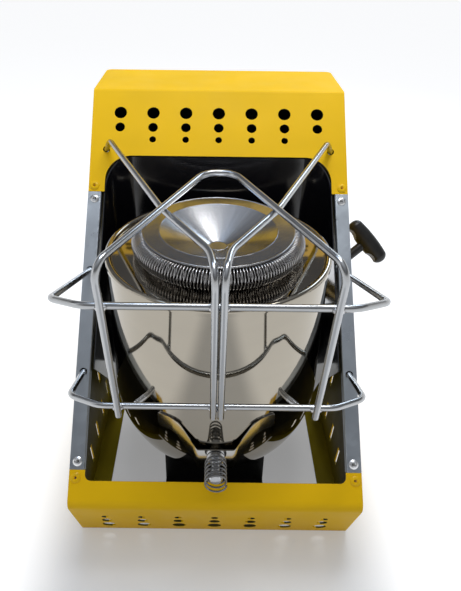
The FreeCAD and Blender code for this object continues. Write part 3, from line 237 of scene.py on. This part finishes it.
MATERIALS = {
    # the yellow paint carries painted shade on the inner faces of the walls
    "yellow_paint": painted("yellow_powder_coat", (0.93, 0.56, 0.002), 0.50, 0.0,
                            inside=((0.34, 0.26, 0.006), (0.04, 0.036, 0.02))),
    "yellow_rivet": painted("yellow_rivet_coat", (0.90, 0.545, 0.003), 0.38, 0.1),
    "galvanised": sheet_metal("galvanised_sheet", (0.48, 0.52, 0.56), 0.32, 0.25),
    "rivet_alloy": sheet_metal("rivet_alloy", (0.74, 0.75, 0.76), 0.28),
    "black_enamel": painted("black_enamel", (0.006, 0.006, 0.008), 0.10, 1.0),
    "black_paint": painted("black_satin", (0.018, 0.018, 0.017), 0.38, 0.2),
    "plated_wire": wire_metal("plated_wire", (0.44, 0.45, 0.46), 0.22),
    "polished_steel": polished("polished_steel", (0.37, 0.337, 0.28), 0.03),
    "brushed_steel": brushed_round("brushed_steel", (0.40, 0.405, 0.42), 0.20),
    "heating_wire": wire_metal("heating_wire", (0.50, 0.49, 0.49), 0.20),
    "plated_sheet": polished("plated_sheet", (0.66, 0.65, 0.63), 0.08),
    "zinc": wire_metal("zinc_hardware", (0.64, 0.65, 0.67), 0.22, 0.0003),
    "brass": wire_metal("turned_brass", (0.72, 0.52, 0.22), 0.24, 0.0003),
    "steel_rod": wire_metal("drawn_steel", (0.56, 0.56, 0.57), 0.26, 0.0003),
    "oxidised_steel": wire_metal("oxidised_steel", (0.10, 0.09, 0.085), 0.42),
    "black_plastic": moulded("black_plastic", (0.012, 0.012, 0.012), 0.40),
}
SPRING_STEEL = wire_metal("spring_steel", (0.20, 0.20, 0.20), 0.24)
slot_of = {row["node"]: row["material_slot"] for row in frame["record"]["subparts"]}
for name, node in frame["nodes"].items():
    chosen = SPRING_STEEL if name == "handle_spring" else MATERIALS[slot_of[name]]
    for holder in node.material_slots:
        holder.material = chosen
    if not node.material_slots:
        node.data.materials.append(chosen)


# fine glow wire, ridges, welds and threads that the plain solids leave out
def keep(piece, body, slot):
    """Adds a piece that rides on a body and wears the material of a slot."""
    bpy.context.collection.objects.link(piece)
    piece.data.materials.append(MATERIALS[slot])
    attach(piece, body)
    return piece


def wire_curve(name, points, diameter, closed=False):
    """Round wire along the given points, in millimetres."""
    curve = bpy.data.curves.new(name, "CURVE")
    curve.dimensions = "3D"
    curve.bevel_depth = diameter / 2 * MM
    curve.bevel_resolution = 2
    curve.use_fill_caps = not closed
    line = curve.splines.new("POLY")
    line.points.add(len(points) - 1)
    for target, point in zip(line.points, points):
        target.co = (*(Vector(point) * MM), 1.0)
    line.use_cyclic_u = closed
    return bpy.data.objects.new(name, curve)


def smooth_piece(name, build):
    mesh = bpy.data.meshes.new(name)
    for face in build.faces:
        face.smooth = True
    build.to_mesh(mesh)
    build.free()
    return bpy.data.objects.new(name, mesh)


def round_ridge(name, radius, height, thickness, flat=0.6):
    """Low bead pressed round the burner axis; flat is its height over its width."""
    build = bmesh.new()
    rows = []
    for i in range(RIDGE_STEPS):
        turn = 2 * math.pi * i / RIDGE_STEPS
        row = []
        for j in range(RIDGE_SIDES):
            roll = 2 * math.pi * j / RIDGE_SIDES
            r = radius + thickness / 2 * math.cos(roll)
            z = height + thickness / 2 * flat * math.sin(roll)
            row.append(build.verts.new(Vector((r * math.cos(turn), r * math.sin(turn), z)) * MM))
        rows.append(row)
    for row, after in zip(rows, rows[1:] + rows[:1]):
        for j in range(RIDGE_SIDES):
            k = (j + 1) % RIDGE_SIDES
            build.faces.new((row[j], after[j], after[k], row[k]))
    bmesh.ops.recalc_face_normals(build, faces=build.faces)
    return smooth_piece(name, build)


def weld_blob(name, place, size, seed):
    """Small lumpy bead of weld metal where two wires cross."""
    build = bmesh.new()
    bmesh.ops.create_icosphere(build, subdivisions=3, radius=0.5)
    for vert in build.verts:
        lump = noise.noise(vert.co * 4.0 + Vector((seed, 0, 0)))
        stretched = Vector(vert.co[i] * size[i] * (1 + 0.25 * lump) for i in range(3))
        vert.co = (Vector(place) + stretched) * MM
    return smooth_piece(name, build)


def thread(name, start, way, length, radius, pitch, wire):
    """Helical ridge round a screw."""
    way = Vector(way).normalized()
    across = way.cross(Vector((1, 0, 0)) if abs(way.x) < 0.5 else Vector((0, 0, 1))).normalized()
    up = way.cross(across)
    count = int(length / pitch * THREAD_STEPS)
    points = []
    for i in range(count + 1):
        turn = 2 * math.pi * i / THREAD_STEPS
        spoke = across * math.cos(turn) + up * math.sin(turn)
        points.append(Vector(start) + way * (length * i / count) + spoke * radius)
    return wire_curve(name, points, wire)


# steps round a ridge, round its section, and round one turn of a thread
RIDGE_STEPS, RIDGE_SIDES, THREAD_STEPS = 160, 10, 14

# glow wire in finer curls than the plain solid, and a little larger than it, in millimetres
COIL_CURLS, COIL_STEPS, COIL_WIRE = 165, 14, 0.7
COIL_TALLER, COIL_HIGHER, COIL_WIDER = 0.2, 0.8, 1.2
coil_low, coil_high = (Vector(corner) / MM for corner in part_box("glow_coil"))
curl = (coil_high.z - coil_low.z - COIL_WIRE) / 2 + COIL_TALLER
coil_z = coil_high.z + COIL_HIGHER - COIL_WIRE / 2 - curl
coil_radius = coil_high.x + COIL_WIDER - COIL_WIRE / 2 - curl
coil_points = []
for i in range(COIL_CURLS * COIL_STEPS):
    around = 2 * math.pi * i / (COIL_CURLS * COIL_STEPS)
    turn = 2 * math.pi * i / COIL_STEPS
    r = coil_radius + curl * math.cos(turn)
    coil_points.append((r * math.cos(around), r * math.sin(around), coil_z + curl * math.sin(turn)))
fine_coil = keep(wire_curve("fine_glow_wire", coil_points, COIL_WIRE, True), "stand", "heating_wire")
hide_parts("glow_coil")

# radius, height and thickness of the ridges pressed in the spreader
spreader_low, spreader_top = (corner[2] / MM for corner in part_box("flame_spreader"))
SPREADER_RIDGES = {"spreader_hem": (49.4, spreader_top, 1.0), "spreader_ridge": (38.6, spreader_top, 0.7),
                   "spreader_cup_rim": (6.2, spreader_low + 0.9, 0.9)}
for name, (radius, height, thickness) in SPREADER_RIDGES.items():
    keep(round_ridge(name, radius, height, thickness), "stand", "brushed_steel")

# beads of weld where the upright wires cross the two bars, in millimetres
LOW_CROSSING, HIGH_CROSSING = (-90.9, 132.8), (-101.9, 212.0)
WELD_SIZE = (6.4, 3.0, 3.6)
for tag, (y, z), uprights in (("low", LOW_CROSSING, (-58.4, -2.3, 2.3, 58.4)),
                              ("high", HIGH_CROSSING, (-59.6, -2.3, 2.3, 59.6))):
    for i, x in enumerate(uprights):
        blob = weld_blob("weld_%s_%d" % (tag, i + 1), (x, y, z), WELD_SIZE, 3.0 * i + z)
        keep(blob, "stand", "steel_rod")

# threads: length, radius of the ridge, pitch and width of the ridge
STUD_THREAD, STUD_THREAD_BACK = (7.6, 1.85, 0.8, 0.45), 3.0
SCREW_THREAD = (17.0, 2.45, 0.8, 0.5)
for tag in ("left", "right"):
    node = "bowl_screw_" + tag
    low, high = (Vector(corner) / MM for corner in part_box(node))
    middle = (low + high) / 2
    outward = Vector((middle.x, middle.y, 0)).normalized()
    start = middle - outward * STUD_THREAD_BACK
    keep(thread("stud_thread_" + tag, start, outward, *STUD_THREAD), "stand", slot_of[node])
screw_low, screw_high = (Vector(corner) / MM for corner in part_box("handle_screw"))
screw_tail = Vector(((screw_low.x + screw_high.x) / 2, screw_high.y, (screw_low.z + screw_high.z) / 2))
screw_thread = thread("handle_screw_thread", screw_tail, (0, -1, 0), *SCREW_THREAD)
keep(screw_thread, "stand", slot_of["handle_screw"])


# floor and light
def card(name, size, place, material):
    """Flat stage card."""
    mesh = bpy.data.meshes.new(name)
    w, h = size[0] / 2, size[1] / 2
    mesh.from_pydata([(-w, -h, 0), (w, -h, 0), (w, h, 0), (-w, h, 0)], [], [(0, 1, 2, 3)])
    mesh.materials.append(material)
    item = bpy.data.objects.new(name, mesh)
    item.location = place
    bpy.context.collection.objects.link(item)
    return item


def soft_patch(tree, middle, reach, start, stop, inside, outside):
    """A level over the floor that turns smoothly from inside an oval to outside it."""
    place = add_node(tree, "ShaderNodeNewGeometry").outputs["Position"]
    shift = (-middle[0] / reach[0], -middle[1] / reach[1], 0.0)
    scale = (1 / reach[0], 1 / reach[1], 0.0)
    oval = add_node(tree, "ShaderNodeMapping", {"Vector": place, "Scale": scale, "Location": shift})
    away = add_node(tree, "ShaderNodeVectorMath", {0: oval.outputs[0]}, operation="LENGTH")
    level = add_node(tree, "ShaderNodeMapRange", {"Value": away.outputs["Value"], "From Min": start,
                                                  "From Max": stop, "To Min": inside, "To Max": outside},
                     interpolation_type="SMOOTHSTEP")
    return level.outputs[0]


def floor_material():
    """Pale floor, lifted to white away from the object for the camera and for reflections; the lower lift
    under and before the object is a painted shadow.
    """
    material = bpy.data.materials.new("pale_floor")
    material.use_nodes = True
    tree = material.node_tree
    tree.nodes.clear()
    # painted shadow: less lift in the oval under and before the object
    lift = soft_patch(tree, *PAINTED_FLOOR_SHADOW)
    ray = add_node(tree, "ShaderNodeLightPath").outputs
    direct = add_node(tree, "ShaderNodeMath", {0: ray["Is Camera Ray"], 1: ray["Is Glossy Ray"]},
                      operation="MAXIMUM")
    seen = add_node(tree, "ShaderNodeMath", {0: direct.outputs[0], 1: ray["Is Transmission Ray"]},
                    operation="MAXIMUM")
    strength = add_node(tree, "ShaderNodeMath", {0: seen.outputs[0], 1: lift}, operation="MULTIPLY")
    glow = add_node(tree, "ShaderNodeEmission", {"Strength": strength.outputs[0]})
    pale = add_node(tree, "ShaderNodeBsdfDiffuse", {"Color": (*FLOOR_COLOR, 1.0)})
    both = add_node(tree, "ShaderNodeAddShader", {0: pale.outputs[0], 1: glow.outputs[0]})
    add_node(tree, "ShaderNodeOutputMaterial", {"Surface": both.outputs[0]})
    return material


# painted shadow: dimmer oval under and before the object: middle, reach, start and end of the turn, level
# inside and outside
PAINTED_FLOOR_SHADOW = ((0.0, -0.10), (0.11, 0.30), 0.8, 1.35, 0.26, 0.74)
FLOOR_COLOR = (0.585, 0.595, 0.61)
card("floor", (12.0, 12.0), (0, 0, -0.0004), floor_material())

# white round the horizon, a darker room above it, a pale ceiling
world = bpy.data.worlds.new("studio")
bpy.context.scene.world = world
world.use_nodes = True
room = world.node_tree
room.nodes.clear()
way = add_node(room, "ShaderNodeTexCoord").outputs["Generated"]
upward = add_node(room, "ShaderNodeSeparateXYZ", {"Vector": way}).outputs["Z"]
height = add_node(room, "ShaderNodeMapRange", {"Value": upward, "From Min": -0.1, "From Max": 1.0})
bands = add_node(room, "ShaderNodeValToRGB", {"Fac": height.outputs[0]})
SKY = ((0.0, (0.93, 0.93, 0.93)), (0.29, (0.91, 0.91, 0.91)), (0.41, (0.16, 0.158, 0.155)),
       (0.55, (0.11, 0.112, 0.12)), (0.78, (0.28, 0.29, 0.31)), (1.0, (0.60, 0.62, 0.66)))
bands.color_ramp.elements[0].color = (*SKY[0][1], 1.0)
bands.color_ramp.elements[1].color = (*SKY[-1][1], 1.0)
for position, color in SKY[1:-1]:
    bands.color_ramp.elements.new(position).color = (*color, 1.0)
sky = add_node(room, "ShaderNodeBackground", {"Color": bands.outputs["Color"]})
add_node(room, "ShaderNodeOutputWorld", {"Surface": sky.outputs[0]})


def lamp(name, size, place, aim, watts, color):
    data = bpy.data.lights.new(name, "AREA")
    data.shape = "RECTANGLE"
    data.size, data.size_y = size
    data.energy = watts
    data.color = color
    item = bpy.data.objects.new(name, data)
    item.location = place
    item.rotation_mode = "QUATERNION"
    item.rotation_quaternion = (Vector(aim) - Vector(place)).to_track_quat("-Z", "Y")
    bpy.context.collection.objects.link(item)


lamp("soft_box", (0.22, 0.50), (0.10, 0.14, 0.95), (0, 0.05, 0.15), 3.1, (1.0, 0.99, 0.975))
lamp("cool_box", (0.14, 0.45), (-0.12, 0.14, 0.95), (0, 0.05, 0.15), 0.8, (0.50, 0.70, 1.0))
lamp("rear_window", (0.25, 0.35), (0.45, 0.75, 0.75), (0, 0, 0.2), 1.6, (0.72, 0.85, 1.0))
lamp("left_fill", (0.4, 0.7), (-0.9, -0.2, 0.6), (0, 0, 0.12), 0.6, (0.95, 0.97, 1.0))
